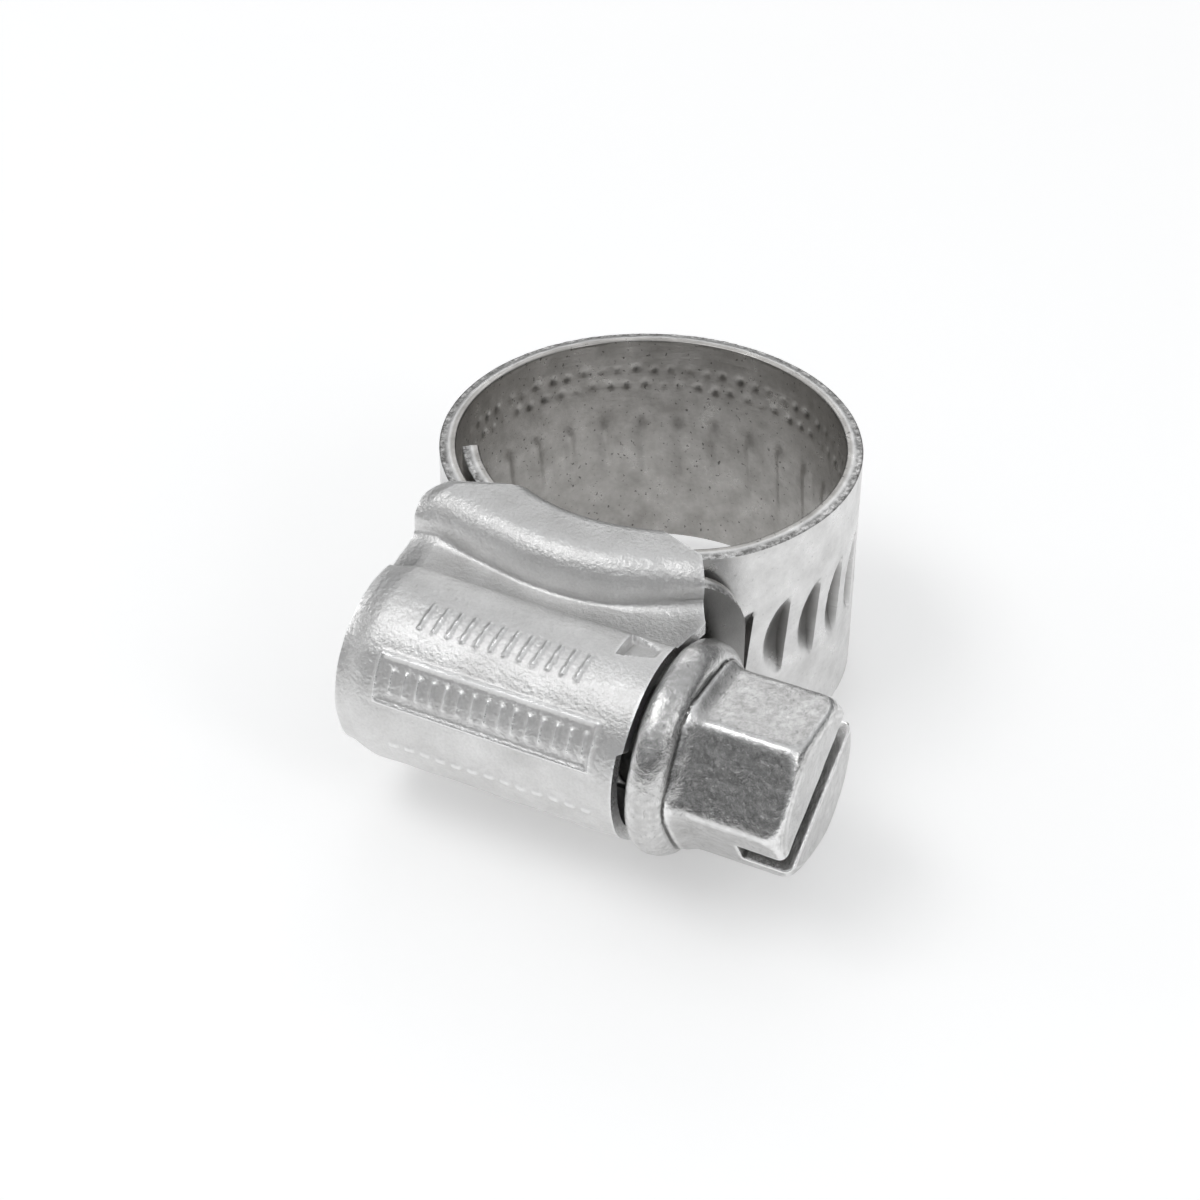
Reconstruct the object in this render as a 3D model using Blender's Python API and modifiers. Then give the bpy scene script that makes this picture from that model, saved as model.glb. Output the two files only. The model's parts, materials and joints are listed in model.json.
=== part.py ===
"""Worm-drive hose clamp: a slotted steel band, a rolled one-piece housing and a hex-head worm screw.

Metres, +Z up. The band's axis is vertical, the worm lies along X with its head at +X, and the
part stands on the underside of the housing's lower roll. The origin is at the middle of the
bounding box's base. The band is one springy strip; it is cut into short lengths hinged end to end
so that the loop can close, and the cut opposite the housing is a sliding seam, not a hinge.
"""
import math

import bmesh
import bpy
from mathutils import Matrix, Vector

MM = 0.001

# ---- band ----
BAND_MID_R = 7.88 * MM          # mid-surface radius of the round loop
BAND_T = 0.64 * MM              # strip thickness
BAND_H = 9.65 * MM              # strip width, along Z
SLOT_STEP = math.radians(12.0)  # one worm pitch along the loop
FIRST_CUT = math.radians(-33.6)
LAST_CUT = math.radians(230.4)
SEAM = math.radians(86.4)
LENGTH_STEP = math.radians(24.0)
CUT_GAP = 0.30 * MM
SEAM_GAP = 0.80 * MM

# ---- curved channel under the worm ----
TAIL_MID_R = 8.90 * MM
LAYER_GAP = 0.30 * MM
BASE_MID_R = TAIL_MID_R - BAND_T - LAYER_GAP
TAIL_TIP = math.radians(-47.3)
TONGUE_END = math.radians(-147.1)
TONGUE_CUT = math.radians(-134.1)
BASE_LEAVES = math.radians(-57.0)
BASE_JOINS = math.radians(-37.0)

# ---- pressed slots ----
SLOT_DEPTH = 0.43 * MM
SLOT_CUT_R = 3.78 * MM
SLOT_RAMP = -0.63 * MM
SLOT_WALL = 0.42 * MM
LEAN = math.radians(5.65)

# ---- housing ----
SHEET = 0.50 * MM
SIDE_GAP = 0.20 * MM
EDGE_GAP = 0.225 * MM
FLAP_R = BASE_MID_R - BAND_T / 2 - SIDE_GAP - SHEET
WALL_R = TAIL_MID_R + BAND_T / 2 + SIDE_GAP + SHEET
FLAP_MID, FLAP_HALF = math.radians(-91.7), math.radians(29.3)
WALL_MID, WALL_HALF = math.radians(-93.5), math.radians(35.5)
FLAP_TIP_Z = 2.6 * MM
INNER_ROUND = 0.85 * MM
OUTER_ROUND = 0.70 * MM
MIDDLE_SWELL = 0.16 * MM
END_SWELL = 1.05 * MM
WEB_Z = 3.66 * MM
BARREL_R = 3.85 * MM
BARREL_START = math.radians(104.0)
BARREL_X0, BARREL_X1 = -5.70 * MM, 5.95 * MM
STATIONS = 17

# ---- screw ----
SCREW_Y = -10.87 * MM           # from the loop's centre
WORM_PITCH = SLOT_STEP * BAND_MID_R * (TAIL_MID_R + BAND_T / 2) / TAIL_MID_R
WORM_CREST_R = 2.59 * MM
WORM_ROOT_R = 1.85 * MM
WORM_X0, WORM_X1 = -4.9 * MM, 5.0 * MM
SHANK_X0 = -5.5 * MM
COLLAR_X0 = 6.25 * MM
HEX_X0, HEX_X1 = 7.6 * MM, 12.14 * MM
HEX_AF = 6.0 * MM
DRIVE_SLOT_W, DRIVE_SLOT_D = 1.1 * MM, 1.9 * MM
DRIVE_SLOT_TURN = math.radians(34.0)
COLLAR_R = 4.05 * MM

# ---- frame ----
HALF_HEIGHT = BAND_H / 2 + EDGE_GAP + SHEET
RING_OUT = BAND_MID_R + BAND_T / 2
RING_X = -(HEX_X1 - RING_OUT) / 2
RING_Y = (COLLAR_R - SCREW_Y - RING_OUT) / 2
RING_Z = HALF_HEIGHT
RING = Vector((RING_X, RING_Y, RING_Z))

STEEL = (0.62, 0.61, 0.585, 1.0)
DARK_STEEL = (0.50, 0.49, 0.465, 1.0)


def polar(radius, angle):
    return Vector((radius * math.cos(angle), radius * math.sin(angle), 0.0))


CHANNEL = polar(TAIL_MID_R - BAND_MID_R, LAST_CUT - math.pi)


def clear_scene():
    for obj in list(bpy.data.objects):
        bpy.data.objects.remove(obj, do_unlink=True)


def new_collection(name):
    coll = bpy.data.collections.new(name)
    bpy.context.scene.collection.children.link(coll)
    return coll


def steel(name, colour, roughness):
    mat = bpy.data.materials.new(name)
    mat.use_nodes = True
    node = mat.node_tree.nodes["Principled BSDF"]
    node.inputs["Base Color"].default_value = colour
    node.inputs["Metallic"].default_value = 1.0
    node.inputs["Roughness"].default_value = roughness
    return mat


def add_object(name, mesh, coll, mat=None):
    obj = bpy.data.objects.new(name, mesh)
    coll.objects.link(obj)
    if mat:
        mesh.materials.append(mat)
    return obj


def as_mesh(bm, name):
    bmesh.ops.recalc_face_normals(bm, faces=bm.faces)
    mesh = bpy.data.meshes.new(name)
    bm.to_mesh(mesh)
    bm.free()
    return mesh


def combine(obj, other, operation):
    mod = obj.modifiers.new(operation.title(), "BOOLEAN")
    mod.object = other
    mod.operation = operation
    mod.solver = "EXACT"


def as_cutter(obj):
    obj.hide_render = True
    obj.display_type = "WIRE"
    return obj


def soften(obj):
    obj.data.shade_smooth()
    obj.data.set_sharp_from_angle(angle=math.radians(35))


# ---------------------------------------------------------------- band

def ring_path(a0, a1, steps):
    return [polar(BAND_MID_R, a0 + (a1 - a0) * i / steps) for i in range(steps + 1)]


def channel_path(radius, a0, a1, steps):
    return [CHANNEL + polar(radius, a0 + (a1 - a0) * i / steps) for i in range(steps + 1)]


def hermite(p0, t0, p1, t1, steps):
    span = (p1 - p0).length
    out = []
    for i in range(1, steps):
        s = i / steps
        h00 = 2 * s ** 3 - 3 * s ** 2 + 1
        h10 = s ** 3 - 2 * s ** 2 + s
        h01 = -2 * s ** 3 + 3 * s ** 2
        h11 = s ** 3 - s ** 2
        out.append(p0 * h00 + t0 * (h10 * span) + p1 * h01 + t1 * (h11 * span))
    return out


def ribbon(name, path, heights, pivot, coll, mat):
    """A vertical ribbon along the path, given its thickness by Solidify; its origin is its pivot."""
    bm = bmesh.new()
    top = [bm.verts.new(p - pivot + Vector((0, 0, h))) for p, h in zip(path, heights)]
    low = [bm.verts.new(p - pivot - Vector((0, 0, h))) for p, h in zip(path, heights)]
    for i in range(len(path) - 1):
        bm.faces.new((low[i], low[i + 1], top[i + 1], top[i]))
    obj = add_object(name, as_mesh(bm, name), coll, mat)
    obj.location = RING + pivot
    mod = obj.modifiers.new("Thickness", "SOLIDIFY")
    mod.thickness = BAND_T
    mod.offset = 0.0
    mod.use_even_offset = True
    return obj


def slot_cutter(name, centre, outward, coll):
    """A cone whose wide end leaves the steep wall and whose flank leaves the ramp."""
    along = Vector((-outward.y, outward.x, 0.0))
    up = Vector((0, 0, 1))
    axis = along * math.cos(LEAN) - up * math.sin(LEAN)
    third = axis.cross(outward)
    frame = Matrix((outward, third, axis)).transposed().to_4x4()
    bm = bmesh.new()
    bmesh.ops.create_cone(bm, cap_ends=True, segments=40,
                          radius1=SLOT_CUT_R - SLOT_DEPTH - 0.02 * MM, radius2=SLOT_CUT_R,
                          depth=SLOT_WALL - SLOT_RAMP)
    obj = add_object(name, as_mesh(bm, name), coll)
    middle = (SLOT_WALL + SLOT_RAMP) / 2
    place = centre + outward * (BAND_T / 2 + SLOT_CUT_R - SLOT_DEPTH) + axis * middle
    obj.matrix_world = Matrix.Translation(RING + place) @ frame
    return as_cutter(obj)


def press_slot(obj, centre, outward, index, coll):
    combine(obj, slot_cutter("%s_slot_%d" % (obj.name, index), centre, outward, coll), "DIFFERENCE")


def ring_length(name, a0, a1, gap0, gap1, hinge, parts, cutters, mat):
    """One rigid length of the loop between two cuts, with its two slots, hinged at one cut."""
    first = a0 + gap0 / BAND_MID_R
    last = a1 - gap1 / BAND_MID_R
    path = ring_path(first, last, 8)
    obj = ribbon(name, path, [BAND_H / 2] * len(path), polar(BAND_MID_R, hinge), parts, mat)
    for i in range(2):
        angle = a0 + SLOT_STEP * (i + 0.5)
        press_slot(obj, polar(BAND_MID_R, angle), polar(1.0, angle), i, cutters)
    return obj


def band_lengths(parts, cutters, mat):
    half = CUT_GAP / 2
    right = round((SEAM - FIRST_CUT) / LENGTH_STEP)
    left = round((LAST_CUT - SEAM) / LENGTH_STEP)
    for i in range(right):
        a0 = FIRST_CUT + LENGTH_STEP * i
        end = SEAM_GAP / 2 if i == right - 1 else half
        name = "band_right_%d" % (i + 1)
        ring_length(name, a0, a0 + LENGTH_STEP, half, end, a0, parts, cutters, mat)
    for i in range(left):
        a1 = LAST_CUT - LENGTH_STEP * i
        end = SEAM_GAP / 2 if i == left - 1 else half
        name = "band_left_%d" % (i + 1)
        ring_length(name, a1 - LENGTH_STEP, a1, end, half, a1, parts, cutters, mat)


def tail_heights(angles):
    """The tail's end is a rounded tongue, a little narrower than the strip."""
    full, narrow = BAND_H / 2, BAND_H / 2 - 0.45 * MM
    out = []
    for a in angles:
        left = (TAIL_TIP - a) * TAIL_MID_R
        reach = 2.2 * MM
        shoulder = min(1.0, max(0.0, (left - 3.2 * MM) / (1.5 * MM)))
        height = narrow + (full - narrow) * shoulder
        if left < reach:
            drop = 1.0 - math.sqrt(max(0.0, 1.0 - ((reach - left) / reach) ** 2))
            height -= drop * 2.2 * MM
        out.append(height)
    return out


def band_tail(parts, cutters, mat):
    """The slotted end that runs under the worm; it turns about the channel's centre."""
    start = LAST_CUT - 2 * math.pi + CUT_GAP / 2 / TAIL_MID_R
    body = [start + (TAIL_TIP - 2.4 * MM / TAIL_MID_R - start) * i / 20 for i in range(20)]
    tip = [TAIL_TIP - 2.4 * MM / TAIL_MID_R * (1 - math.sin(math.pi / 2 * i / 7)) for i in range(8)]
    angles = body + tip
    path = [CHANNEL + polar(TAIL_MID_R, a) for a in angles]
    obj = ribbon("band_tail", path, tail_heights(angles), CHANNEL, parts, mat)
    step = SLOT_STEP * BAND_MID_R / TAIL_MID_R
    for i in range(6):
        angle = LAST_CUT - 2 * math.pi + step * (i + 0.5)
        press_slot(obj, CHANNEL + polar(TAIL_MID_R, angle), polar(1.0, angle), i, cutters)
    return obj


def band_base(parts, cutters, mat):
    """The fixed inner layer under the housing and the way out to the right."""
    start = TONGUE_CUT + CUT_GAP / 2 / BASE_MID_R
    inner = channel_path(BASE_MID_R, start, BASE_LEAVES, 20)
    joins = polar(BAND_MID_R, BASE_JOINS)
    bend = hermite(inner[-1], polar(1.0, BASE_LEAVES + math.pi / 2), joins,
                   polar(1.0, BASE_JOINS + math.pi / 2), 6)
    last = FIRST_CUT - CUT_GAP / 2 / BAND_MID_R
    path = inner + bend + ring_path(BASE_JOINS, last, 2)
    obj = ribbon("band_base", path, [BAND_H / 2] * len(path), Vector(), parts, mat)
    angle = FIRST_CUT - SLOT_STEP / 2
    press_slot(obj, polar(BAND_MID_R, angle), polar(1.0, angle), 0, cutters)
    return obj


def band_tongue(parts, mat):
    """The strip's inner end: it lies inside the loop and bridges the gap beside the housing."""
    path = channel_path(BASE_MID_R, TONGUE_END, TONGUE_CUT - CUT_GAP / 2 / BASE_MID_R, 4)
    pivot = CHANNEL + polar(BASE_MID_R, TONGUE_CUT)
    return ribbon("band_tongue", path, [BAND_H / 2] * len(path), pivot, parts, mat)


# ---------------------------------------------------------------- housing

def arc(cx, cy, radius, a0, a1, steps):
    out = []
    for i in range(steps + 1):
        a = a0 + (a1 - a0) * i / steps
        out.append((cx + radius * math.cos(a), cy + radius * math.sin(a)))
    return out


def eased(x, low, high):
    t = max(0.0, min(1.0, (x - low) / (high - low)))
    return t * t * (3 - 2 * t)


def wall_radius(u):
    """The roll's outer wall along the housing, u from -1 to 1: it swells towards the plain end."""
    end = max(0.0, (-u - 0.3) / 0.7)
    return WALL_R + MIDDLE_SWELL * (1 - eased(u, 0.2, 0.9)) + END_SWELL * end * end


def saddle_profile(wall):
    """Radius and height above the mid-plane, from the inner flap over the roll to the web."""
    top = HALF_HEIGHT
    pts = [(FLAP_R, FLAP_TIP_Z), (FLAP_R, (FLAP_TIP_Z + top - INNER_ROUND) / 2)]
    pts += arc(FLAP_R + INNER_ROUND, top - INNER_ROUND, INNER_ROUND, math.pi, math.pi / 2, 5)
    pts += arc(wall - OUTER_ROUND, top - OUTER_ROUND, OUTER_ROUND, math.pi / 2, 0.0, 5)
    turn = 0.35 * MM
    pts += arc(wall + turn, WEB_Z + turn, turn, math.pi, 1.5 * math.pi, 3)
    return pts


def barrel_radius(x):
    """The barrel draws in slightly at its plain end, which keeps the worm from backing out."""
    return BARREL_R - 0.28 * MM * eased(-x, -BARREL_X0 - 1.3 * MM, -BARREL_X0)


def housing_rows():
    rows = []
    for k in range(STATIONS):
        u = -1 + 2 * k / (STATIONS - 1)
        row = []
        saddle = saddle_profile(wall_radius(u))
        for j, (radius, z) in enumerate(saddle):
            s = min(1.0, max(0.0, (j - 2) / (len(saddle) - 7)))
            middle = FLAP_MID + (WALL_MID - FLAP_MID) * s
            reach = FLAP_HALF + (WALL_HALF - FLAP_HALF) * s
            row.append(CHANNEL + polar(radius, middle + reach * u) + Vector((0, 0, z)))
        x = (BARREL_X0 + BARREL_X1) / 2 + (BARREL_X1 - BARREL_X0) / 2 * u
        r = barrel_radius(x)
        for i in range(15):
            a = BARREL_START * (1 - i / 14)
            row.append(Vector((x, SCREW_Y - r * math.cos(a), r * math.sin(a))))
        rows.append(row)
    return rows


def housing(parts, mat):
    bm = bmesh.new()
    grid = [[bm.verts.new(p) for p in row] for row in housing_rows()]
    for a, b in zip(grid, grid[1:]):
        for j in range(len(a) - 1):
            bm.faces.new((a[j], a[j + 1], b[j + 1], b[j]))
    mesh = bpy.data.meshes.new("housing")
    bm.to_mesh(mesh)
    bm.free()
    obj = add_object("housing", mesh, parts, mat)
    obj.location = RING
    mirror = obj.modifiers.new("Mirror", "MIRROR")
    mirror.use_axis = (False, False, True)
    mirror.merge_threshold = 0.00001
    wall = obj.modifiers.new("Sheet", "SOLIDIFY")
    wall.thickness = SHEET
    wall.offset = -1.0
    wall.use_even_offset = True
    return obj


# ---------------------------------------------------------------- screw

def turned(name, profile, coll, steps=40):
    """A profile of (axial, radius) pairs turned about local Z, open ends on the axis."""
    bm = bmesh.new()
    verts = [bm.verts.new((r, 0.0, z)) for z, r in profile]
    for a, b in zip(verts, verts[1:]):
        bm.edges.new((a, b))
    mesh = bpy.data.meshes.new(name)
    bm.to_mesh(mesh)
    bm.free()
    obj = add_object(name, mesh, coll)
    mod = obj.modifiers.new("Turn", "SCREW")
    mod.axis = "Z"
    mod.steps = steps
    mod.render_steps = steps
    mod.use_merge_vertices = True
    mod.merge_threshold = 0.00001
    return obj


def worm_thread(name, coll):
    """A trapezoid rib along a right-hand helix; it tapers to nothing at both ends."""
    per_turn = 20
    turns = (WORM_X1 - WORM_X0) / WORM_PITCH
    count = int(turns * per_turn)
    slot_x = CHANNEL.x + (TAIL_MID_R + BAND_T / 2) * math.sin(
        LAST_CUT - 2 * math.pi + math.pi / 2 + 3.5 * SLOT_STEP * BAND_MID_R / TAIL_MID_R)
    phase = slot_x + 0.20 * MM
    start = phase - round((phase - WORM_X0) / WORM_PITCH) * WORM_PITCH
    bm = bmesh.new()
    rings = []
    for i in range(count + 1):
        turn = i / per_turn
        angle = math.pi / 2 + 2 * math.pi * turn
        fade = min(1.0, i / 10, (count - i) / 10)
        crest = WORM_ROOT_R - 0.1 * MM + (WORM_CREST_R - WORM_ROOT_R + 0.1 * MM) * fade
        z = start + WORM_PITCH * turn
        section = ((WORM_ROOT_R - 0.2 * MM, -0.36 * MM), (crest, -0.12 * MM),
                   (crest, 0.12 * MM), (WORM_ROOT_R - 0.2 * MM, 0.30 * MM))
        rings.append([bm.verts.new((r * math.cos(angle), r * math.sin(angle), z + dz))
                      for r, dz in section])
    for a, b in zip(rings, rings[1:]):
        for j in range(4):
            bm.faces.new((a[j], a[(j + 1) % 4], b[(j + 1) % 4], b[j]))
    bm.faces.new(rings[0])
    bm.faces.new(rings[-1])
    return as_cutter(add_object(name, as_mesh(bm, name), coll))


def collar_profile():
    a = COLLAR_X0
    return [(a, 0.0), (a, 3.35 * MM), (a + 0.12 * MM, 3.78 * MM), (a + 0.40 * MM, COLLAR_R),
            (a + 0.80 * MM, COLLAR_R), (a + 1.15 * MM, 3.90 * MM), (a + 1.42 * MM, 3.62 * MM),
            (a + 1.60 * MM, 3.20 * MM), (a + 1.60 * MM, 0.0)][::-1]


def hex_envelope_profile():
    corner = HEX_AF / math.sqrt(3)
    flat = HEX_AF / 2
    return [(HEX_X0 - 1.0 * MM, 0.0), (HEX_X0 - 1.0 * MM, corner), (HEX_X1 - 0.55 * MM, corner - 0.02 * MM),
            (HEX_X1 - 0.22 * MM, flat + 0.28 * MM), (HEX_X1, flat - 0.10 * MM), (HEX_X1, 0.0)][::-1]


def worm_screw(parts, cutters, mat):
    profile = [(SHANK_X0, 0.0), (SHANK_X0, WORM_ROOT_R - 0.15 * MM), (SHANK_X0 + 0.15 * MM, WORM_ROOT_R),
               (COLLAR_X0 + 0.5 * MM, WORM_ROOT_R), (COLLAR_X0 + 0.5 * MM, 0.0)][::-1]
    screw = turned("worm_screw", profile, parts, steps=20)
    screw.data.materials.append(mat)
    tools = [worm_thread("tool_thread", cutters)]
    tools.append(as_cutter(turned("tool_collar", collar_profile(), cutters)))
    bm = bmesh.new()
    bmesh.ops.create_cone(bm, cap_ends=True, segments=6, radius1=HEX_AF / math.sqrt(3),
                          radius2=HEX_AF / math.sqrt(3), depth=HEX_X1 - HEX_X0)
    bmesh.ops.translate(bm, verts=bm.verts, vec=(0, 0, (HEX_X0 + HEX_X1) / 2))
    head = as_cutter(add_object("tool_hex", as_mesh(bm, "tool_hex"), cutters))
    envelope = as_cutter(turned("tool_envelope", hex_envelope_profile(), cutters))
    combine(head, envelope, "INTERSECT")
    tools.append(head)
    bm = bmesh.new()
    bmesh.ops.create_cube(bm, size=1.0)
    bmesh.ops.scale(bm, verts=bm.verts, vec=(12 * MM, DRIVE_SLOT_W, 2 * DRIVE_SLOT_D))
    bmesh.ops.rotate(bm, verts=bm.verts, matrix=Matrix.Rotation(math.pi / 2 + DRIVE_SLOT_TURN, 3, "Z"))
    bmesh.ops.translate(bm, verts=bm.verts, vec=(0, 0, HEX_X1))
    slot = as_cutter(add_object("tool_slot", as_mesh(bm, "tool_slot"), cutters))
    for tool in tools:
        combine(screw, tool, "UNION")
    combine(screw, slot, "DIFFERENCE")
    place = Matrix.Translation(RING + Vector((0, SCREW_Y, 0))) @ Matrix.Rotation(math.pi / 2, 4, "Y")
    for obj in [screw, slot, envelope] + tools:
        obj.matrix_world = place
    return screw


def main():
    clear_scene()
    parts = new_collection("hose_clamp")
    cutters = new_collection("cutters")
    band = steel("band_steel", STEEL, 0.34)
    shell = steel("housing_steel", STEEL, 0.30)
    screw = steel("screw_steel", DARK_STEEL, 0.32)
    housing(parts, shell)
    band_base(parts, cutters, band)
    band_tongue(parts, band)
    band_tail(parts, cutters, band)
    band_lengths(parts, cutters, band)
    worm_screw(parts, cutters, screw)
    bpy.context.view_layer.update()
    for obj in parts.objects:
        soften(obj)


main()
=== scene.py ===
"""Looks of a worm-drive hose clamp: fine meshes and worn-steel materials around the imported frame.

Lengths are in millimetres until a mesh is made, and angles in degrees. The strip is one continuous
line from the tongue inside the loop, under the housing, round the loop and back to the tail's tip.
"""
import json
import math

import bmesh
import bpy
import numpy as np
from mathutils import Matrix, Vector

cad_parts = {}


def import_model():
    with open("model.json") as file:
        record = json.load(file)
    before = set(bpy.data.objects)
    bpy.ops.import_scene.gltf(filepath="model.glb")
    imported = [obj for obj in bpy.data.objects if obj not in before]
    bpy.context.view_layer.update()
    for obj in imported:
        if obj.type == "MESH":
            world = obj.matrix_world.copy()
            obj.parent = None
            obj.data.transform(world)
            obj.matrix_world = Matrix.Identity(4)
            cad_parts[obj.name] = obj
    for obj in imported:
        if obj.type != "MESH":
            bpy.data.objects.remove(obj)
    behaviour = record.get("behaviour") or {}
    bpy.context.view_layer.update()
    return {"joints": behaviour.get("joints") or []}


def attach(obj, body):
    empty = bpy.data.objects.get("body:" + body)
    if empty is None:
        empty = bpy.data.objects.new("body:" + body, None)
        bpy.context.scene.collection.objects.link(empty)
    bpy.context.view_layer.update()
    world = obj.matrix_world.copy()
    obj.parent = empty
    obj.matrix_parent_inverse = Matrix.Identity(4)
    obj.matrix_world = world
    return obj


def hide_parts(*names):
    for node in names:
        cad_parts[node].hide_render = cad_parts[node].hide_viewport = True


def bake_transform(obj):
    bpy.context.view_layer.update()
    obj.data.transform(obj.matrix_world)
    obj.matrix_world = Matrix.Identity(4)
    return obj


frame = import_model()
MM = 0.001


# ---------------------------------------------------------------- places read from the frame

def joint_place(name):
    """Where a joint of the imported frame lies, in mm."""
    joint = next(j for j in frame["joints"] if j["name"] == name)
    return np.array(joint["pos_m"]) / MM


def circle_through(a, b, c):
    """Centre and radius of the circle through three points of one level."""
    rows = 2 * np.array([b[:2] - a[:2], c[:2] - a[:2]])
    sums = np.array([b[:2] @ b[:2] - a[:2] @ a[:2], c[:2] @ c[:2] - a[:2] @ a[:2]])
    centre = np.linalg.solve(rows, sums)
    return np.array([centre[0], centre[1], a[2]]), float(np.linalg.norm(a[:2] - centre))


LOOP, LOOP_R = circle_through(*map(joint_place, ("right_flex_2", "right_flex_5", "left_flex_3")))
CHANNEL = joint_place("tail_feed")
SCREW = joint_place("screw_turn")


def turn_from(centre, point):
    """Direction of a point seen from a centre, in degrees."""
    return math.degrees(math.atan2(point[1] - centre[1], point[0] - centre[0]))


# ---------------------------------------------------------------- dimensions

STRIP_T, STRIP_H = 0.64, 9.65  # thickness and width of the strip
SLOT_STEP = 12.0  # from slot to slot, round the loop
LOOP_SLOTS, TAIL_SLOTS = 23, 6
LINK = 24.0  # one rigid length of the loop
RIGHT_LINKS, LEFT_LINKS = 5, 6
FIRST_CUT = turn_from(LOOP, joint_place("right_flex_1"))  # the loop's hinges nearest the housing
LAST_CUT = turn_from(LOOP, joint_place("left_flex_1")) % 360
SEAM = 86.4  # where the two chains of lengths meet, opposite the housing
SEAM_ROOT, SEAM_LAP, SEAM_INSET = 0.6, 0.55, 0.05  # the hidden lap: before and past the seam, and how deep
STRIP_GAP, SHEET_GAP = 0.30, 0.20  # strip to strip, and strip to housing
TAIL_R = LOOP_R + float(np.linalg.norm(CHANNEL[:2] - LOOP[:2]))  # about CHANNEL: the strip at the worm
BASE_R = TAIL_R - STRIP_T - STRIP_GAP  # and the strip that lies inside it
TONGUE_END, TONGUE_CUT = -147.1, turn_from(CHANNEL, joint_place("tongue_flex"))
BASE_LEAVES, BASE_JOINS = -57.0, -37.0  # where the inner strip leaves its own arc and joins the loop
TAIL_TIP = 312.7
TAIL_ROUND = 2.2  # length of the tail's rounded end
SPACING = 0.10  # between the mesh's lines along the strip
LEAN = math.tan(math.radians(5.65))  # the slots lean with the worm's thread
SLOT_Z, SLOT_R, SLOT_DEEP = 0.30, 3.78, 0.43  # height of a slot's middle, and its round cut
SLOT_RAMP, SLOT_WALL = -0.63, 0.42  # where a slot's ramp starts and its steep wall stands

SHEET = 0.50  # the housing's sheet
HALF_HEIGHT = 5.55
HEAD_X0, HEAD_X1 = 6.25, 12.14  # from the collar's face to the flat end of the hexagon
HEX_AF = 6.0


# ---------------------------------------------------------------- small tools

HASH_STEPS = np.array([374761393, 668265263, 2147483647])
HASH_SEED, HASH_MIX = 1013904223, 1274126177


def smooth(x, low, high):
    """0 up to low, 1 from high, and an even rise between them."""
    t = np.clip((x - low) / (high - low), 0.0, 1.0)
    return t * t * (3 - 2 * t)


def lattice(points, size, seed):
    """Smooth random values from -1 to 1, one for each point, over cells of the given size."""
    q = points / size
    cell = np.floor(q).astype(np.int64)
    f = q - cell
    f = f * f * (3 - 2 * f)
    total = np.zeros(len(points))
    for corner in range(8):
        step = np.array([corner & 1, corner >> 1 & 1, corner >> 2 & 1])
        h = (cell + step) @ HASH_STEPS + seed * HASH_SEED
        h = (h ^ (h >> 13)) * HASH_MIX & 0x7FFFFFFF
        h = (h ^ (h >> 16)) & 0xFFFF
        weight = np.prod(np.where(step, f, 1 - f), axis=1)
        total += weight * (h / 32767.5 - 1.0)
    return total


def linked(name, data):
    """A new object of the scene."""
    obj = bpy.data.objects.new(name, data)
    bpy.context.scene.collection.objects.link(obj)
    return obj


def mesh_object(name, points, faces, material):
    """A mesh in the row frame from points in mm."""
    mesh = bpy.data.meshes.new(name)
    mesh.from_pydata((points * MM).tolist(), [], faces)
    mesh.validate()
    mesh.materials.append(material)
    return linked(name, mesh)


def store(mesh, name, values):
    """Keeps a vector for each vertex, which a material reads by its name."""
    attribute = mesh.attributes.get(name) or mesh.attributes.new(name, "FLOAT_VECTOR", "POINT")
    attribute.data.foreach_set("vector", np.asarray(values, np.float32).ravel())


def soften(obj, degrees):
    """Smooth shading, except over edges sharper than an angle."""
    obj.data.shade_smooth()
    obj.data.set_sharp_from_angle(angle=math.radians(degrees))


def vectors(mesh, key="co"):
    """The places or the normals of a mesh's vertices, as Blender keeps them."""
    values = np.zeros(len(mesh.vertices) * 3)
    mesh.vertices.foreach_get(key, values)
    return values.reshape(-1, 3)


def move_vertices(mesh, places):
    """Puts the vertices at places in mm."""
    mesh.vertices.foreach_set("co", (places * MM).astype(np.float32).ravel())
    mesh.update()


def apply_modifiers(obj):
    bpy.context.view_layer.update()
    evaluated = obj.evaluated_get(bpy.context.evaluated_depsgraph_get())
    mesh = bpy.data.meshes.new_from_object(evaluated)
    obj.modifiers.clear()
    old, obj.data = obj.data, mesh
    bpy.data.meshes.remove(old)


def curvature(mesh, passes=2):
    """For each vertex, how sharply the surface bends: over 0 on an edge, under 0 in a corner."""
    co = vectors(mesh)
    edges = np.zeros(len(mesh.edges) * 2, np.int64)
    mesh.edges.foreach_get("vertices", edges)
    a, b = edges.reshape(-1, 2).T
    normals = vectors(mesh, "normal")
    step = co[b] - co[a]
    span = np.linalg.norm(step, axis=1) + 1e-9
    drop_a = -(step * normals[a]).sum(1) / span ** 2 * MM
    drop_b = (step * normals[b]).sum(1) / span ** 2 * MM
    count = np.bincount(a, minlength=len(co)) + np.bincount(b, minlength=len(co)) + 1e-9
    value = (np.bincount(a, drop_a, len(co)) + np.bincount(b, drop_b, len(co))) / count
    for _ in range(passes):
        spread = np.bincount(a, value[b], len(co)) + np.bincount(b, value[a], len(co))
        value = 0.5 * value + 0.5 * spread / count
    return value


# ---------------------------------------------------------------- materials

MIX_A, MIX_B, MIX_RESULT = 6, 7, 2  # the colour sockets of a Mix node


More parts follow.
